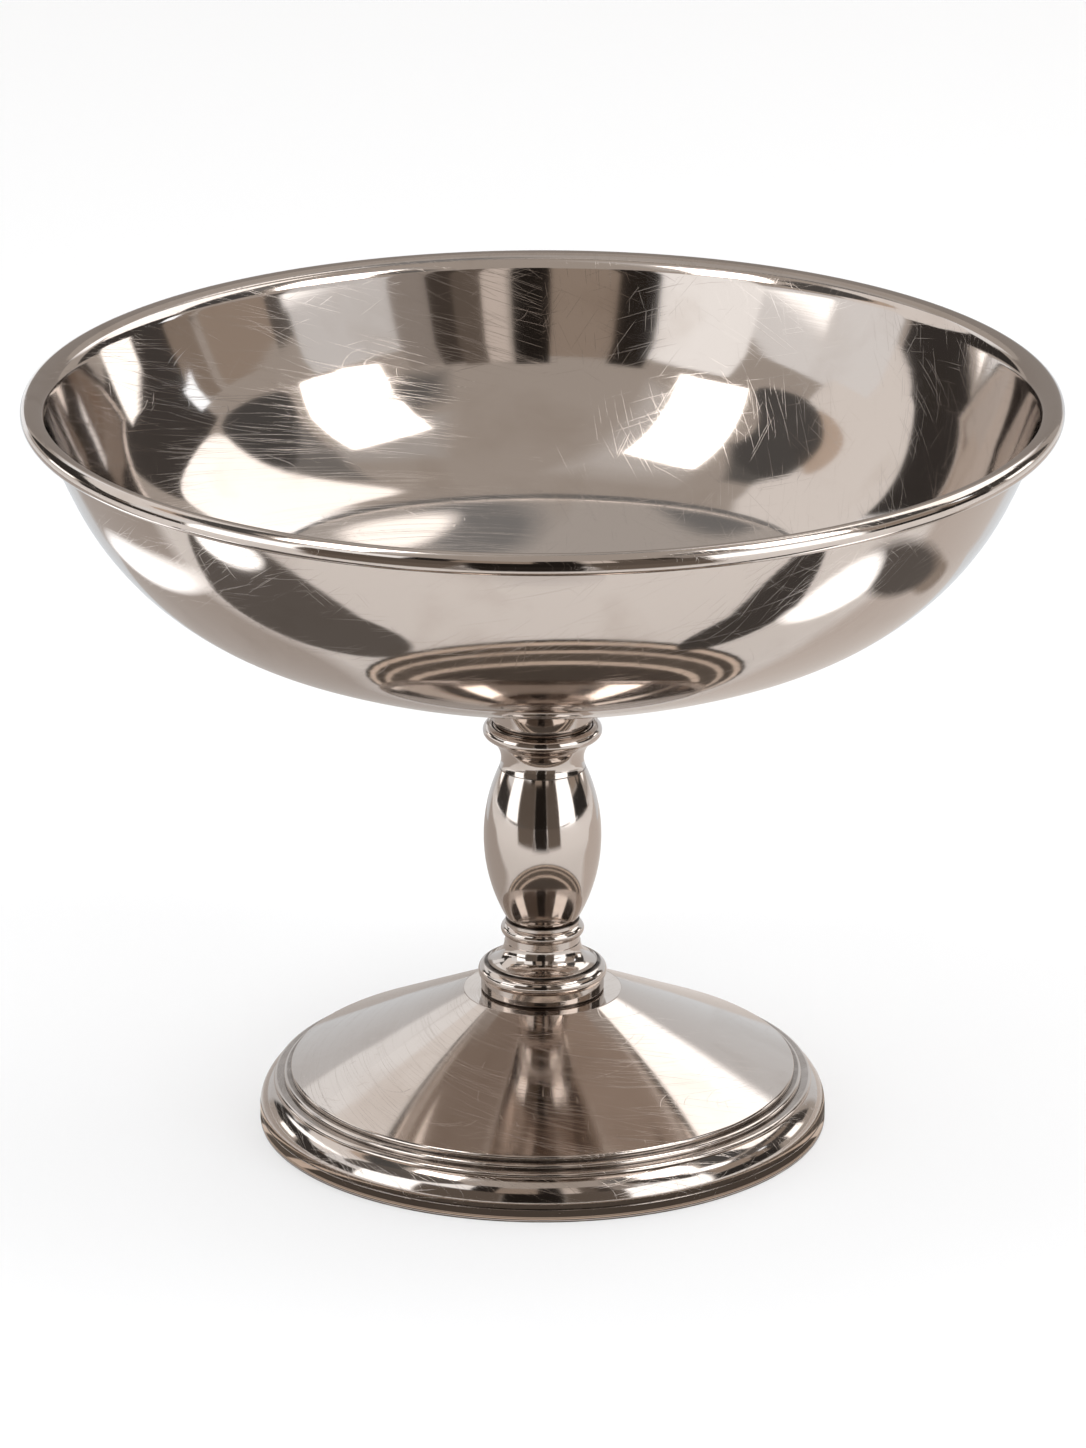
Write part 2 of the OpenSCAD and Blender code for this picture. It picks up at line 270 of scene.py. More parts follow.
def cone_profile():
    flat_p = (FLAT_R, FOOT_H)
    edge_p = (CONE_R, CONE_EDGE_Z)
    lip_p = (CONE_R, RING_H)
    rise = math.atan((FOOT_H - CONE_EDGE_Z) / (CONE_R - FLAT_R))
    in_flat_r = FLAT_R - FOOT_T * math.tan(rise / 2)
    in_lip_r = CONE_R - FOOT_T
    in_lip_z = FOOT_H - FOOT_T - (in_lip_r - in_flat_r) * math.tan(rise)
    hole = SPIGOT_R + SEAT_GAP
    return path(
        (in_lip_r, RING_H), lip_p, corner(lip_p, edge_p, flat_p, 0.8),
        corner(edge_p, flat_p, (0, FOOT_H), 1.0), (hole, FOOT_H), (hole, FOOT_H - FOOT_T),
        (in_flat_r, FOOT_H - FOOT_T), (in_lip_r, in_lip_z), (in_lip_r, RING_H),
    )


def ring_profile():
    t, q = RING_T, BAND_QUIRK
    in_r = OVOLO_R - t
    ovolo_a = math.degrees(math.acos((LOWER_R - OVOLO_C.x) / OVOLO_R))
    in_a = math.degrees(math.acos((LOWER_R - t - OVOLO_C.x) / in_r))
    ledge_r = CONE_R - FOOT_T - 2.0
    under = RING_H - t
    low_in = LOWER_Z - t
    return path(
        (BAND_R - t, 0), corner((0, 0), (BAND_R, 0), (BAND_R, 9), 0.25),
        corner((BAND_R, 0), (BAND_R, BAND_H - q), (0, BAND_H - q), 0.12),
        (BAND_R - q, BAND_H - q), (BAND_R - q, BAND_H),
        arc(OVOLO_C, OVOLO_R, 0.5, ovolo_a, 2),
        corner((LOWER_R, 0), (LOWER_R, LOWER_Z), (0, LOWER_Z), STEP_R), (UPPER_R, LOWER_Z),
        corner((UPPER_R, 0), (UPPER_R, RING_H), (0, RING_H), STEP_R),
        (ledge_r, RING_H), (ledge_r, under),
        corner((0, under), (UPPER_R - t, under), (UPPER_R - t, 0), STEP_R),
        (UPPER_R - t, low_in),
        corner((0, low_in), (LOWER_R - t, low_in), (LOWER_R - t, 0), STEP_R),
        arc(OVOLO_C, in_r, in_a, 0, 4), (BAND_R - t, 0),
    )


def washer_profile():
    r0, r1, z0, z1 = BORE_R, 13.0, 31.0, 32.5
    return path(
        (r0, z0), corner((0, z0), (r1, z0), (r1, z1), 0.25),
        corner((r1, z0), (r1, z1), (0, z1), 0.25), (r0, z1), (r0, z0),
    )


# Meshes

def place(mesh, name, node, slot, material):
    """Puts a finished mesh into the scene in place of its CAD node."""
    piece = bpy.data.objects.new(name, mesh)
    bpy.context.scene.collection.objects.link(piece)
    mesh.materials.append(material)
    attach(piece, "root")
    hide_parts(node)


def lathe(name, spans):
    """Turns a closed profile into a mesh whose normals are the profile's own."""
    points = []
    ends = []
    for span in spans:
        for i, (p, n) in enumerate(span):
            if not points or (p - points[-1]).length > 1e-5:
                points.append(p)
            if i:
                ends.append((len(points) - 2, len(points) - 1, span[i - 1][1], n))
    if (points[-1] - points[0]).length < 1e-5:
        points.pop()
    count = len(points)
    rings = []
    vertices = []
    for p in points:
        first = len(vertices)
        if p.x < 1e-6:
            vertices.append((0.0, 0.0, p.y * MM))
            rings.append((first, True))
            continue
        for j in range(TURNS):
            a = 2 * math.pi * j / TURNS
            vertices.append((p.x * MM * math.sin(a), p.x * MM * math.cos(a), p.y * MM))
        rings.append((first, False))

    way = [0.0]
    for i in range(1, count + 1):
        way.append(way[-1] + (points[i % count] - points[i - 1]).length * MM)
    faces = []
    normals = []
    uvs = []
    for i0, i1, n0, n1 in ends:
        i1 %= count
        if i0 == i1 or (rings[i0][1] and rings[i1][1]):
            continue
        v0 = way[i0]
        v1 = way[i0] + (points[i1] - points[i0]).length * MM
        for j in range(TURNS):
            corners = []
            quad = ((i0, j, n0, v0), (i0, j + 1, n0, v0), (i1, j + 1, n1, v1), (i1, j, n1, v1))
            for ring, k, n, v in quad:
                first, pole = rings[ring]
                if pole and k == j + 1:
                    continue
                a = 2 * math.pi * (k + 0.5 if pole else k) / TURNS
                normal = (n.x * math.sin(a), n.x * math.cos(a), n.y)
                corners.append((first if pole else first + k % TURNS, normal, (a * points[ring].x * MM, v)))
            corners.reverse()
            faces.append([c[0] for c in corners])
            normals.extend(c[1] for c in corners)
            uvs.extend(c[2] for c in corners)
    mesh = bpy.data.meshes.new(name)
    mesh.from_pydata(vertices, [], faces)
    layer = mesh.uv_layers.new(name="surface")
    for loop, uv in zip(layer.data, uvs):
        loop.uv = uv
    mesh.polygons.foreach_set("use_smooth", [True] * len(mesh.polygons))
    mesh.normals_split_custom_set(normals)
    return mesh


def rings_mesh(name, rings, smooth):
    """Skin over rings of equal length, open at both ends."""
    count = len(rings[0])
    faces = []
    for i in range(len(rings) - 1):
        for j in range(count):
            k = (j + 1) % count
            faces.append([i * count + j, i * count + k, (i + 1) * count + k, (i + 1) * count + j])
    mesh = bpy.data.meshes.new(name)
    mesh.from_pydata([tuple(c * MM for c in v) for ring in rings for v in ring], [], faces)
    mesh.polygons.foreach_set("use_smooth", [smooth] * len(mesh.polygons))
    return mesh


def nut_mesh():
    """Six-sided nut with both ends turned down to a cone."""
    flat, bore, z0, z1, count = 5.0, THREAD_R, 26.0, 31.0, 72
    fall = math.tan(math.radians(30))

    def ring(radius, height):
        made = []
        for j in range(count):
            a = 2 * math.pi * j / count
            side = (math.degrees(a) + 30) % 60 - 30
            r = radius(flat / cos(side))
            made.append((r * math.cos(a), r * math.sin(a), height(flat / cos(side))))
        return made

    return rings_mesh("nut_turned", [
        ring(lambda hexagon: bore, lambda hexagon: z0 + 0.4),
        ring(lambda hexagon: bore + 0.4, lambda hexagon: z0),
        ring(lambda hexagon: flat - 0.2, lambda hexagon: z0),
        ring(lambda hexagon: hexagon, lambda hexagon: z0 + (hexagon - flat + 0.2) * fall),
        ring(lambda hexagon: hexagon, lambda hexagon: z1 - (hexagon - flat + 0.2) * fall),
        ring(lambda hexagon: flat - 0.2, lambda hexagon: z1),
        ring(lambda hexagon: bore, lambda hexagon: z1),
        ring(lambda hexagon: bore, lambda hexagon: z0 + 0.4),
    ], False)


def rod_mesh():
    """Rod whose lower end has a thread."""
    radius, z0, z1, bevel, count = 3.0, 23.0, 112.3, 0.6, 48
    thread_top, pitch, depth, step = 34.0, 1.0, 0.5, 0.1
    heights = [z0 + step * i for i in range(round((thread_top - z0) / step) + 1)]
    heights += [thread_top + 0.5, z1 - bevel]
    rings = [[(0.0, 0.0, z0)] * count]
    for z in heights:
        ring = []
        for j in range(count):
            a = 2 * math.pi * j / count
            phase = (z / pitch - j / count) % 1.0
            cut = depth * (1 - abs(2 * phase - 1)) if z <= thread_top else 0.0
            r = min(radius - cut, radius - bevel + z - z0)
            ring.append((r * math.cos(a), r * math.sin(a), z))
        rings.append(ring)
    end = [(x * (1 - bevel / radius), y * (1 - bevel / radius), z1) for x, y, _ in rings[-1]]
    rings.append(end)
    rings.append([(0.0, 0.0, z1)] * count)
    return rings_mesh("rod_threaded", rings, True)


# Materials

class Graph:
    """Short names for building a material's nodes."""

    def __init__(self, name):
        self.material = bpy.data.materials.new(name)
        self.material.use_nodes = True
        self.tree = self.material.node_tree
        self.tree.nodes.clear()

    def node(self, kind, **settings):
        made = self.tree.nodes.new(kind)
        for key, value in settings.items():
            setattr(made, key, value)
        return made

    def put(self, value, socket):
        if isinstance(value, bpy.types.NodeSocket):
            self.tree.links.new(value, socket)
        else:
            socket.default_value = value

    def math(self, operation, a, b=0.0):
        made = self.node("ShaderNodeMath", operation=operation)
        self.put(a, made.inputs[0])
        self.put(b, made.inputs[1])
        return made.outputs[0]

    def scaled(self, vector, scale, turn=0.0):
        if turn:
            spin = self.node("ShaderNodeVectorRotate", rotation_type="Z_AXIS")
            self.put(vector, spin.inputs["Vector"])
            spin.inputs["Angle"].default_value = math.radians(turn)
            vector = spin.outputs[0]
        made = self.node("ShaderNodeVectorMath", operation="MULTIPLY")
        self.put(vector, made.inputs[0])
        made.inputs[1].default_value = scale
        return made.outputs[0]

    def noise(self, vector, detail=2.0, twist=0.0, colour=False):
        made = self.node("ShaderNodeTexNoise")
        self.put(vector, made.inputs["Vector"])
        made.inputs["Scale"].default_value = 1.0
        made.inputs["Detail"].default_value = detail
        made.inputs["Distortion"].default_value = twist
        return made.outputs["Color" if colour else "Fac"]

    def ramp(self, value, low, high, to_low=0.0, to_high=1.0):
        made = self.node("ShaderNodeMapRange", interpolation_type="SMOOTHSTEP")
        self.put(value, made.inputs[0])
        for i, number in enumerate((low, high, to_low, to_high)):
            made.inputs[i + 1].default_value = number
        return made.outputs[0]

    def blend(self, share, a, b):
        made = self.node("ShaderNodeMix", data_type="RGBA")
        self.put(share, made.inputs[0])
        self.put(a, made.inputs[6])
        self.put(b, made.inputs[7])
        return made.outputs[2]

    def sum(self, *terms):
        total = terms[0]
        for term in terms[1:]:
            total = self.math("ADD", total, term)
        return total


def plate(name, colour, rough, brushed, worn=1.0, shade_heights=()):
    """Polished plate with turning lines, hair scratches, cloudy wear, and painted shade along the given
    heights.
    """
    g = Graph(name)
    uv = g.node("ShaderNodeUVMap", uv_map="surface").outputs[0]
    place_at = g.node("ShaderNodeTexCoord").outputs["Object"]

    lines = g.noise(g.scaled(uv, (7, 800, 1)), 3.0)
    hair = g.noise(g.scaled(uv, (25, 3600, 1)), 2.0)
    waves = g.noise(g.scaled(place_at, (26, 26, 26)), 1.0)
    bend = g.node("ShaderNodeVectorMath", operation="MULTIPLY_ADD")
    g.put(g.noise(g.scaled(uv, (14, 14, 1)), 1.0, colour=True), bend.inputs[0])
    bend.inputs[1].default_value = (0.02, 0.02, 0)
    g.put(uv, bend.inputs[2])
    scratches = []
    for turn, along, across, rare in ((14, 34, 3200, 0.685), (-28, 30, 3600, 0.69), (58, 40, 3400, 0.695),
                                      (97, 46, 3800, 0.70), (-66, 28, 2800, 0.70)):
        cut = g.noise(g.scaled(bend.outputs[0], (along, across, 1), turn), 1.0)
        scratches.append(g.ramp(cut, rare, rare + 0.05))
    marks = g.sum(*scratches)

    cloud = g.noise(g.scaled(place_at, (38, 38, 38)), 4.0, 0.4)
    fine_cloud = g.noise(g.scaled(place_at, (240, 240, 240)), 3.0)
    dull = g.math("MULTIPLY", g.ramp(cloud, 0.5, 0.75), 0.3)
    height = g.node("ShaderNodeSeparateXYZ")
    g.put(place_at, height.inputs[0])
    seam_shade = 0.0
    # Painted shade: a mask within each given height's reach that darkens the seams, creases and the foot's
    # floor contact, and adds roughness there
    for z, reach in shade_heights:
        gap = g.math("ABSOLUTE", g.math("SUBTRACT", height.outputs[2], z * MM))
        seam_shade = g.math("MAXIMUM", seam_shade, g.ramp(gap, 0.25 * reach * MM, reach * MM, 1.0, 0.0))
    if shade_heights:
        seam_shade = g.math("MULTIPLY", seam_shade, g.ramp(fine_cloud, 0.2, 0.6, 0.6, 1.0))
    brown = tuple(c * f for c, f in zip(colour, (0.68, 0.62, 0.56)))
    tone = g.blend(dull, (*colour, 1), (*brown, 1))
    # Painted shade: the seam mask blends the colour towards near black
    tone = g.blend(seam_shade, tone, (0.035, 0.024, 0.017, 1))

    cloudy = g.math("MULTIPLY", g.ramp(cloud, 0.35, 0.7), 0.025)
    rubbed = g.math("MULTIPLY", marks, 0.05 * worn)
    roughness = g.sum(cloudy, rubbed, g.math("MULTIPLY", seam_shade, 0.35), rough)

    relief = g.sum(g.math("MULTIPLY", lines, 1.2 * brushed), g.math("MULTIPLY", hair, 0.22 * brushed),
                   g.math("MULTIPLY", waves, 12.0), g.math("MULTIPLY", marks, -1.3 * worn))
    bump = g.node("ShaderNodeBump")
    bump.inputs["Strength"].default_value = 1.0
    bump.inputs["Distance"].default_value = 0.000002
    g.put(relief, bump.inputs["Height"])

    shader = g.node("ShaderNodeBsdfPrincipled")
    shader.inputs["Metallic"].default_value = 1.0
    g.put(tone, shader.inputs["Base Color"])
    g.put(roughness, shader.inputs["Roughness"])
    g.put(bump.outputs[0], shader.inputs["Normal"])
    out = g.node("ShaderNodeOutputMaterial")
    g.put(shader.outputs[0], out.inputs[0])
    return g.material


def plain_steel():
    """Bright steel with fine noise in its shine and a little brown."""
    g = Graph("bright_steel")
    place_at = g.node("ShaderNodeTexCoord").outputs["Object"]
    grain = g.noise(g.scaled(place_at, (900, 900, 900)), 3.0)
    spots = g.noise(g.scaled(place_at, (160, 160, 160)), 4.0, 0.5)
    shader = g.node("ShaderNodeBsdfPrincipled")
    shader.inputs["Metallic"].default_value = 1.0
    bright = (0.42, 0.41, 0.39, 1)
    brown = (0.24, 0.18, 0.13, 1)
    g.put(g.blend(g.ramp(spots, 0.5, 0.72), bright, brown), shader.inputs["Base Color"])
    g.put(g.ramp(grain, 0.3, 0.7, 0.24, 0.42), shader.inputs["Roughness"])
    bump = g.node("ShaderNodeBump")
    bump.inputs["Strength"].default_value = 1.0
    bump.inputs["Distance"].default_value = 0.00001
    g.put(grain, bump.inputs["Height"])
    g.put(bump.outputs[0], shader.inputs["Normal"])
    out = g.node("ShaderNodeOutputMaterial")
    g.put(shader.outputs[0], out.inputs[0])
    return g.material


SILVER = (0.56, 0.49, 0.44)
BASE_ROLL_TOP = 41.3

# Heights given painted shade, in the seams and creases and along the foot's contact with the floor, each
# with its height and the shade's reach in millimetres
STEM_SHADE_HEIGHTS = ((BOSS_Z, 0.7), (COLLAR_Z, 0.15), (BALUSTER_Z, 0.35), (BASE_Z, 0.7), (BASE_ROLL_TOP, 0.3))
FOOT_SHADE_HEIGHTS = ((RING_H + 0.1, 0.16), (LOWER_Z + 0.1, 0.14), (BAND_H - 0.15, 0.2), (0.0, 0.6))

bowl_metal = plate("bowl_plate", SILVER, rough=0.06, brushed=1.6)
stem_metal = plate("stem_plate", SILVER, rough=0.075, brushed=0.4, worn=0.4, shade_heights=STEM_SHADE_HEIGHTS)
foot_metal = plate("foot_plate", SILVER, rough=0.075, brushed=1.6, worn=2.5, shade_heights=FOOT_SHADE_HEIGHTS)
steel = plain_steel()

for name, profile, node, slot, material in (
        ("bowl_spun", bowl_profile, "bowl", "bowl_silver", bowl_metal),
        ("socket_turned", socket_profile, "bowl_socket", "stem_silver", stem_metal),
        ("collar_turned", collar_profile, "stem_collar", "stem_silver", stem_metal),
        ("baluster_turned", baluster_profile, "baluster", "stem_silver", stem_metal),
        ("base_turned", base_profile, "stem_base", "stem_silver", stem_metal),
        ("cone_spun", cone_profile, "foot_cone", "foot_silver", foot_metal),
        ("ring_spun", ring_profile, "base_ring", "foot_silver", foot_metal),
        ("washer_pressed", washer_profile, "foot_washer", "steel", steel)):
    place(lathe(name, profile()), name, node, slot, material)
place(nut_mesh(), "nut_turned", "rod_nut", "steel", steel)
place(rod_mesh(), "rod_threaded", "tie_rod", "steel", steel)
rim_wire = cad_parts["rim_wire"]
rim_wire.data.materials.clear()
rim_wire.data.materials.append(steel)


# Studio: pale floor, softboxes, and cards that the metal mirrors

def floor_material():
    """Pale floor: part lit, so that it keeps the shadow, and part even white to the lens and in mirrors."""
    g = Graph("pale_floor")
    rays = g.node("ShaderNodeLightPath")
    seen = g.math("MAXIMUM", rays.outputs["Is Camera Ray"], rays.outputs["Is Glossy Ray"])
    seen = g.math("MAXIMUM", seen, rays.outputs["Is Transmission Ray"])
    diffuse = g.node("ShaderNodeBsdfDiffuse")
    diffuse.inputs["Color"].default_value = (0.95, 0.965, 0.985, 1)
    glow = g.node("ShaderNodeEmission")
    mix = g.node("ShaderNodeMixShader")
    even_share = 0.42
    g.put(g.math("MULTIPLY", seen, even_share), mix.inputs[0])
    g.put(diffuse.outputs[0], mix.inputs[1])
    g.put(glow.outputs[0], mix.inputs[2])
    out = g.node("ShaderNodeOutputMaterial")
    g.put(mix.outputs[0], out.inputs[0])
    return g.material


def disc(name, radius, z, count=96):
    rim = []
    for j in range(count):
        a = 2 * math.pi * j / count
        rim.append((radius * math.cos(a), radius * math.sin(a), z))
    mesh = bpy.data.meshes.new(name)
    mesh.from_pydata(rim, [], [list(range(count))])
    return mesh


FLOOR_R = 4.0
FLOOR_Z = -0.00002
floor = bpy.data.objects.new("floor", disc("floor", FLOOR_R, FLOOR_Z))
bpy.context.scene.collection.objects.link(floor)
floor.data.materials.append(floor_material())


def rounded(outline):
    """Closed outline with each corner cut off twice."""
    for _ in range(2):
        cut = []
        for p, q in zip(outline, outline[1:] + outline[:1]):
            cut += [p.lerp(q, 0.25), p.lerp(q, 0.75)]
        outline = cut
    return outline


def oval(x, y, half_length, half_width, turn=0.0, first=0, last=350):
    """Outline of an ellipse, or of the part of it between two angles."""
    outline = []
    for a in range(first, last + 1, 10):
        u = half_length * cos(a)
        v = half_width * sin(a)
        outline.append((x + u * cos(turn) - v * sin(turn), y + u * sin(turn) + v * cos(turn)))
    return outline


def card(name, corners, level, tint=(1, 1, 1), soft=0.12, lights=False, curved=False):
    """Flat panel of one brightness whose edge fades out; the lens doesn't see it."""
    inner = [Vector(c) for c in corners]
    if curved:
        inner = rounded(inner)
    middle = sum(inner, Vector()) / len(inner)
    outer = [middle + (c - middle) * (1 + soft) for c in inner]
    count = len(inner)
    faces = [list(range(count))]
    for i in range(count):
        k = (i + 1) % count
        faces.append([i, k, count + k, count + i])
    mesh = bpy.data.meshes.new(name)
    mesh.from_pydata([tuple(c) for c in inner + outer], [], faces)
    fade = mesh.attributes.new("fade", "FLOAT", "POINT")
    for i in range(count):
        fade.data[i].value = 1.0
    g = Graph(name)
    glow = g.node("ShaderNodeEmission")
    glow.inputs["Color"].default_value = (*tint, 1)
    glow.inputs["Strength"].default_value = level
    mix = g.node("ShaderNodeMixShader")
    g.put(g.node("ShaderNodeAttribute", attribute_name="fade").outputs["Fac"], mix.inputs[0])
    g.put(g.node("ShaderNodeBsdfTransparent").outputs[0], mix.inputs[1])
    g.put(glow.outputs[0], mix.inputs[2])
    out = g.node("ShaderNodeOutputMaterial")
    g.put(mix.outputs[0], out.inputs[0])
    panel = bpy.data.objects.new(name, mesh)
    bpy.context.scene.collection.objects.link(panel)
    panel.data.materials.append(g.material)
    panel.visible_camera = False
    panel.visible_shadow = False
    panel.visible_diffuse = lights


def flat(name, z, outline, level, **more):
    """Level card at the height z."""
    card(name, [(x, y, z) for x, y in outline], level, **more)


def sector(name, a0, a1, e0, e1, level, reach=2.0, **more):
    """Far card between two bearings (0 to the lens, + to the right) and two angles of height."""
    eye_z = 0.1
    corners = []
    for a, e in ((a0, e0), (a1, e0), (a1, e1), (a0, e1)):
        corners.append((reach * sin(a) * cos(e), -reach * cos(a) * cos(e), eye_z + reach * sin(e)))
    card(name, corners, level, **more)


def upright(name, a0, a1, level, radius, z0, z1, **more):
    """Upright board at a distance from the axis, between two bearings and two heights."""
    corners = []
    for a, z in ((a0, z0), (a1, z0), (a1, z1), (a0, z1)):
        corners.append((radius * sin(a), -radius * cos(a), z))
    card(name, corners, level, **more)


TAN = (1, 0.85, 0.73)
WARM = (1, 0.93, 0.88)
PALE = (0.96, 1.0, 1.04)

# Softboxes, window and flags above, which the bowl's inside mirrors
CEILING = 1.0
SOFTBOX_RIGHT = [(1.10, -0.30), (0.95, -0.55), (0.78, -0.65), (0.30, -0.13), (0.46, 0.08), (0.75, -0.06)]
SOFTBOX_LEFT = [(-0.57, -0.56), (-0.81, -0.33), (-0.30, 0.18), (-0.18, 0.03)]
WINDOW_BACK = [(1.30, 0.42), (0.85, 0.38), (0.54, 0.35), (0.20, 0.33), (0.32, 0.49), (0.42, 0.84),
               (0.87, 1.11), (1.14, 1.20), (1.24, 0.85)]
FLAG_RIGHT = [(1.30, 0.37), (1.30, 0.05), (1.12, -0.19), (0.80, -0.02), (0.54, 0.34), (0.85, 0.37)]
FLAG_LEFT = [(-0.84, -0.34), (-1.03, -0.19), (-1.06, 0.01), (-0.86, 0.23), (-0.68, 0.30), (-0.45, 0.36),
             (-0.42, 0.10), (-0.66, -0.02)]
FLAG_LEFT_END = [(-0.60, 0.30), (-0.40, 0.33), (-0.36, 0.28), (-0.46, 0.08), (-0.60, 0.05)]
TAN_LEFT = [(-1.06, 0.0), (-1.10, 0.14), (-1.02, 0.32), (-0.85, 0.39), (-0.60, 0.41), (-0.68, 0.29),
            (-0.86, 0.22)]
PALE_LEFT = [(-1.05, -0.12), (-2.0, -0.16), (-2.9, 0.0), (-3.0, 0.75), (-2.69, 0.97), (-1.86, 0.95),
             (-1.37, 0.97), (-0.71, 1.0), (-0.40, 0.95), (-0.33, 0.80), (-0.28, 0.45)]
GREY_FRONT = [(0.50, -0.50), (0.42, -0.52), (0.38, -0.40), (0.42, -0.32), (0.48, -0.38)]
HALO_LEFT = [(-0.38, -0.40), (-0.50, -0.10), (-0.25, 0.20), (-0.10, 0.10)]
HALO_RIGHT = [(0.30, -0.20), (0.25, 0.05), (0.45, 0.15), (0.60, -0.10)]
FLAG_RIGHT_END = [(0.84, -0.02), (0.50, 0.14), (0.34, 0.27), (0.60, 0.34)]
flat("softbox_right", CEILING, SOFTBOX_RIGHT, 5.6, soft=0.06, lights=True)
flat("softbox_left", CEILING, SOFTBOX_LEFT, 5.6, soft=0.06, lights=True)
flat("halo_left", CEILING + 0.01, HALO_LEFT, 0.75, soft=0.6)
flat("halo_right", CEILING + 0.01, HALO_RIGHT, 0.6, soft=0.5)
flat("window_back", CEILING, WINDOW_BACK, 2.2, soft=0.05, lights=True, curved=True)
flat("flag_right_a", CEILING - 0.02, FLAG_RIGHT, 0.10, curved=True)
flat("flag_right_b", CEILING - 0.015, FLAG_RIGHT_END, 0.26, soft=0.3)
flat("flag_left", CEILING - 0.02, FLAG_LEFT, 0.11, soft=0.1, curved=True)
flat("flag_left_end", CEILING - 0.015, FLAG_LEFT_END, 0.16, soft=0.35)
flat("tan_left", CEILING, TAN_LEFT, 0.75, tint=TAN, curved=True)
flat("pale_left", CEILING + 0.02, PALE_LEFT, 1.1, soft=0.02, lights=True, curved=True)
flat("grey_front", CEILING, GREY_FRONT, 0.18, soft=2.0)

# Half-round panel above, which the bowl's bottom mirrors as an arc, with a dark and a light edge
ARC = oval(0.004, 0.92, 0.335, 0.51, 0, 180, 360)
ARC_DIM_LEFT = [(0.13, 0.49), (0.06, 0.46), (0.02, 0.50), (0.04, 0.62), (0.12, 0.68)]
ARC_DIM_RIGHT = [(-0.15, 0.50), (-0.23, 0.58), (-0.27, 0.70), (-0.21, 0.68)]
ARC_LIGHT = [(0.248, 0.741), (0.219, 0.642), (0.158, 0.555), (0.116, 0.526), (0.131, 0.607), (0.184, 0.725)]
flat("arc_border", CEILING - 0.025, [(x * 1.04, y - 0.055) for x, y in ARC], 0.22, tint=PALE, soft=0.03)
flat("arc_line", CEILING - 0.028, [(x, y - 0.012) for x, y in ARC], 1.7, tint=WARM, soft=0.01)
flat("arc_panel", CEILING - 0.03, ARC, 0.6, tint=(1, 0.98, 0.96), soft=0.01)
flat("arc_dim_left", CEILING - 0.035, ARC_DIM_LEFT, 0.3, tint=PALE, soft=0.9, curved=True)
flat("arc_dim_right", CEILING - 0.035, ARC_DIM_RIGHT, 0.25, tint=PALE, soft=0.8, curved=True)
flat("arc_light", CEILING - 0.04, ARC_LIGHT, 2.2, soft=0.5, curved=True)

# Walls round about, as the bowl's inside mirrors them
for name, a0, a1, e0, e1, level, tint in (
        ("wall_tan", 73, 92, 12, 26, 0.45, TAN), ("wall_slot", 91.5, 95, 8, 17, 0.07, WARM),
        ("wall_brown_far", 95, 104, 8, 26, 0.36, TAN), ("wall_grey", 67, 73, 16, 27, 0.15, WARM),
        ("wall_pale", 40, 67, 16, 36, 0.95, PALE), ("wall_brown", 30, 40, 22, 44, 0.40, WARM),
        ("wall_dark", 23.5, 30, 22, 45, 0.08, TAN), ("wall_dim", 16, 23.5, 22, 46, 0.17, TAN),
        ("wall_light", 9.5, 16, 22, 46, 0.85, WARM), ("wall_black", -2, 8, 22, 47, 0.02, TAN),
        ("wall_middle", -20, -2, 22, 44, 0.42, TAN), ("wall_black_left", -31, -20, 22, 46, 0.025, TAN),
        ("wall_white", -57, -31, 18, 42, 1.5, PALE), ("wall_pale_left", -97, -57, 12, 30, 1.15, PALE),
        ("wall_tan_left", -101, -96, 8, 13, 0.36, TAN),
        ("wall_dark_back", 104, 138, 8, 31, 0.08, WARM), ("wall_tan_right", 62, 67, 16, 34, 0.6, TAN)):
    sector(name, a0, a1, e0, e1, level, tint=tint, soft=0.07, lights=level > 1)
sector("wall_dark_left", -145, -99, 8, 36, 0.05, reach=3.5, tint=WARM, soft=0.03)
sector("window_small", 101, 105.5, 20, 27, 2.2, reach=1.8, tint=(0.9, 1, 1.1), soft=0.1)
sector("strip_left", -128, -117, 2, 8, 2.5, reach=1.8, soft=0.2)
sector("strip_right", 116, 127, 4, 13, 2.5, reach=1.8, soft=0.2)
for name, a0, a1, e0, e1, level, tint in (
        ("stand_left", -77, -52, -4, 25, 2.5, PALE), ("stand_right", 35, 68, -4, 25, 2.5, PALE),
        ("dark_centre", -15, 8, -4, 24, 0.02, TAN), ("brown_left", -50, -17, -4, 24, 0.16, TAN),
        ("brown_right", 10, 33, -4, 24, 0.16, TAN), ("dark_right", 71, 106, -4, 9, 0.04, WARM),
        ("dark_left", -112, -79, -4, 9, 0.06, WARM)):
    sector(name, a0, a1, e0, e1, level, reach=1.3, tint=tint, lights=level > 1)

# Low boards and walls behind the object, which the foot and the rim mirror
BOARD_R = 0.30
for name, a0, a1, z0, z1, level in (
        ("board_low_left", -166, -136, 0.0, 0.142, 0.8), ("board_left", -157, -126, 0.150, 0.203, 1.2),
        ("board_low_right", 136, 166, 0.0, 0.178, 0.85), ("board_middle", 170, 190, 0.10, 0.19, 1.1)):
    upright(name, a0, a1, level, BOARD_R, z0, z1, tint=PALE, soft=0.25)
sector("wall_back_left", -157, -144, 31, 50, 1.25, tint=PALE, soft=0.4)
sector("wall_back_right", 145, 153, 31, 50, 2.4, tint=PALE, soft=0.8)
sector("wall_far_back", 150, 210, 0, 24, 0.36, reach=3.5, tint=WARM, soft=0.03)

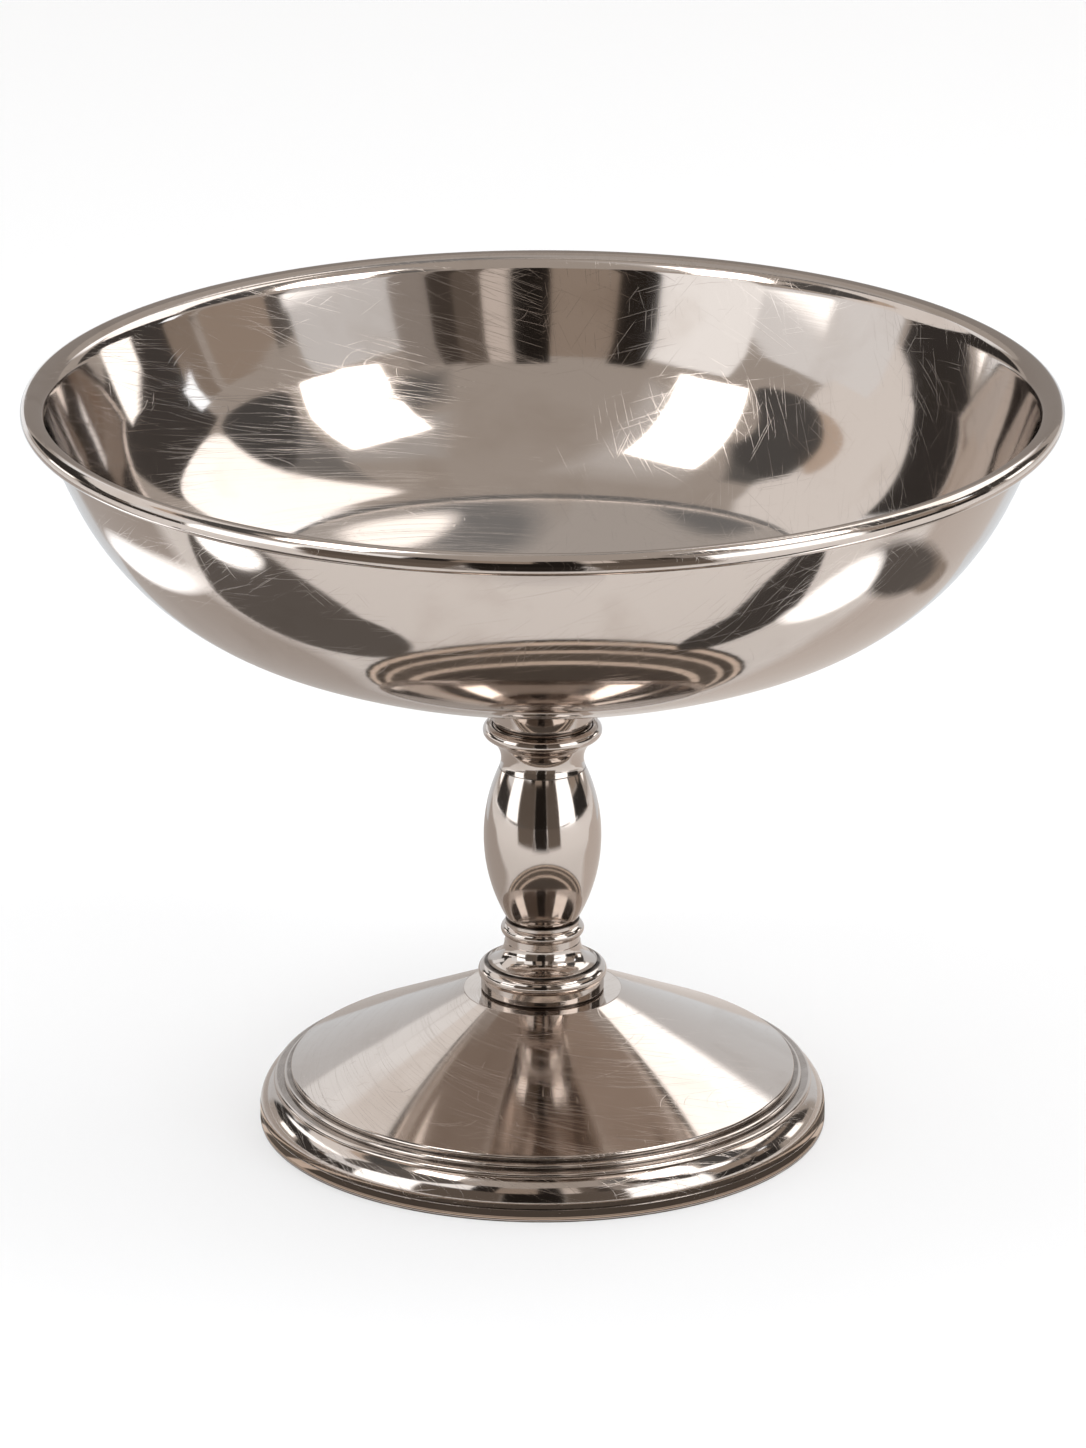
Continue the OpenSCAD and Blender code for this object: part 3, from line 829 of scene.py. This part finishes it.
# Cards beside the stem, which the bowl's outside mirrors
BESIDE = 0.075
for name, up, x, y, half_length, half_width, turn, level, tint, soft in (
        ("dark_left_side", 0.0, -0.128, -0.082, 0.075, 0.031, -20, 0.16, WARM, 0.05),
        ("spot_left", 0.002, -0.168, -0.077, 0.025, 0.008, -49, 3.0, PALE, 0.3),
        ("streak_left", 0.0, -0.168, 0.030, 0.050, 0.012, -83, 2.5, PALE, 0.6),
        ("dark_right_side", 0.0, 0.110, -0.107, 0.052, 0.015, -3, 0.08, WARM, 0.05),
        ("spot_right", 0.002, 0.140, -0.070, 0.030, 0.012, 31, 3.0, PALE, 0.4),
        ("dark_right_end", 0.0, 0.168, -0.017, 0.036, 0.017, 90, 0.15, WARM, 0.5),
        ("brown_right_end", -0.001, 0.164, 0.027, 0.028, 0.014, 110, 0.37, TAN, 0.4)):
    flat(name, BESIDE + up, oval(x, y, half_length, half_width, turn), level, tint=tint, soft=soft)

# Cards low on the floor: brown behind, strips in front, and nested dark and light mats before the foot
TAN_FLOOR_LEFT = [(-0.10, -0.02), (-0.16, -0.005), (-0.24, 0.03), (-0.40, 0.10), (-0.5, 0.6), (0.0, 0.8),
                  (0.0, 0.10), (-0.06, 0.075)]
TAN_FLOOR_RIGHT = [(0.09, 0.02), (0.18, 0.0), (0.25, 0.05), (0.4, 0.1), (0.5, 0.6), (0.0, 0.8),
                   (0.0, 0.10), (0.05, 0.08)]
BROWN_LEFT = [(-0.24, -0.24), (-0.09, -0.28), (-0.40, -1.3), (-1.1, -0.95)]
BROWN_RIGHT = [(0.06, -0.28), (0.17, -0.26), (0.80, -1.2), (0.24, -1.3)]
flat("tan_floor_left", 0.001, TAN_FLOOR_LEFT, 0.55, tint=WARM, curved=True)
flat("tan_floor_right", 0.0012, TAN_FLOOR_RIGHT, 0.75, tint=WARM, curved=True)
flat("floor_black", 0.001, [(-0.075, -0.27), (0.04, -0.27), (0.17, -1.3), (-0.34, -1.3)], 0.03, tint=TAN)
flat("floor_brown_left", 0.001, BROWN_LEFT, 0.2, tint=TAN)
flat("floor_brown_right", 0.001, BROWN_RIGHT, 0.2, tint=TAN)
MAT = oval(0.007, -0.045, 0.088, 0.098)
for name, z, grown, level in (("mat_border", 0.0006, 1.08, 0.04), ("mat_line", 0.0008, 1.045, 0.9),
                              ("mat", 0.001, 1.0, 0.1), ("mat_ring", 0.0011, 0.93, 0.75),
                              ("mat_inner", 0.0012, 0.89, 0.14), ("mat_step", 0.0013, 0.78, 0.8),
                              ("mat_core", 0.0014, 0.73, 0.1)):
    flat(name, z, [(x * grown, y * grown) for x, y in MAT], level, tint=TAN, soft=0.01)

# Lamp for the floor behind, plain surroundings and the lens
LAMP_AT = (0, 1.4, 1.7)
SURROUNDINGS = (0.545, 0.512, 0.482, 1)
IMAGE_HEIGHT_PX = 1448
FOCAL_PX = 8500
SENSOR_MM = 36
LENS_AT = (0.00012, -1.97676, 0.80013)
LENS_TILT = 70.587

lamp = bpy.data.lights.new("back_light", "AREA")
lamp.size = 2.2
lamp.energy = 9.0
lamp_object = bpy.data.objects.new("back_light", lamp)
bpy.context.scene.collection.objects.link(lamp_object)
lamp_object.location = LAMP_AT
lamp_object.visible_glossy = False

world = bpy.data.worlds.new("studio")
bpy.context.scene.world = world
world.use_nodes = True
world.node_tree.nodes["Background"].inputs["Color"].default_value = SURROUNDINGS

camera = bpy.data.cameras.new("camera")
camera.sensor_width = SENSOR_MM
camera.lens = SENSOR_MM * FOCAL_PX / IMAGE_HEIGHT_PX
camera_object = bpy.data.objects.new("camera", camera)
bpy.context.scene.collection.objects.link(camera_object)
camera_object.location = LENS_AT
camera_object.rotation_euler = (math.radians(LENS_TILT), 0, 0)
bpy.context.scene.camera = camera_object
bpy.context.scene.view_settings.view_transform = "Standard"
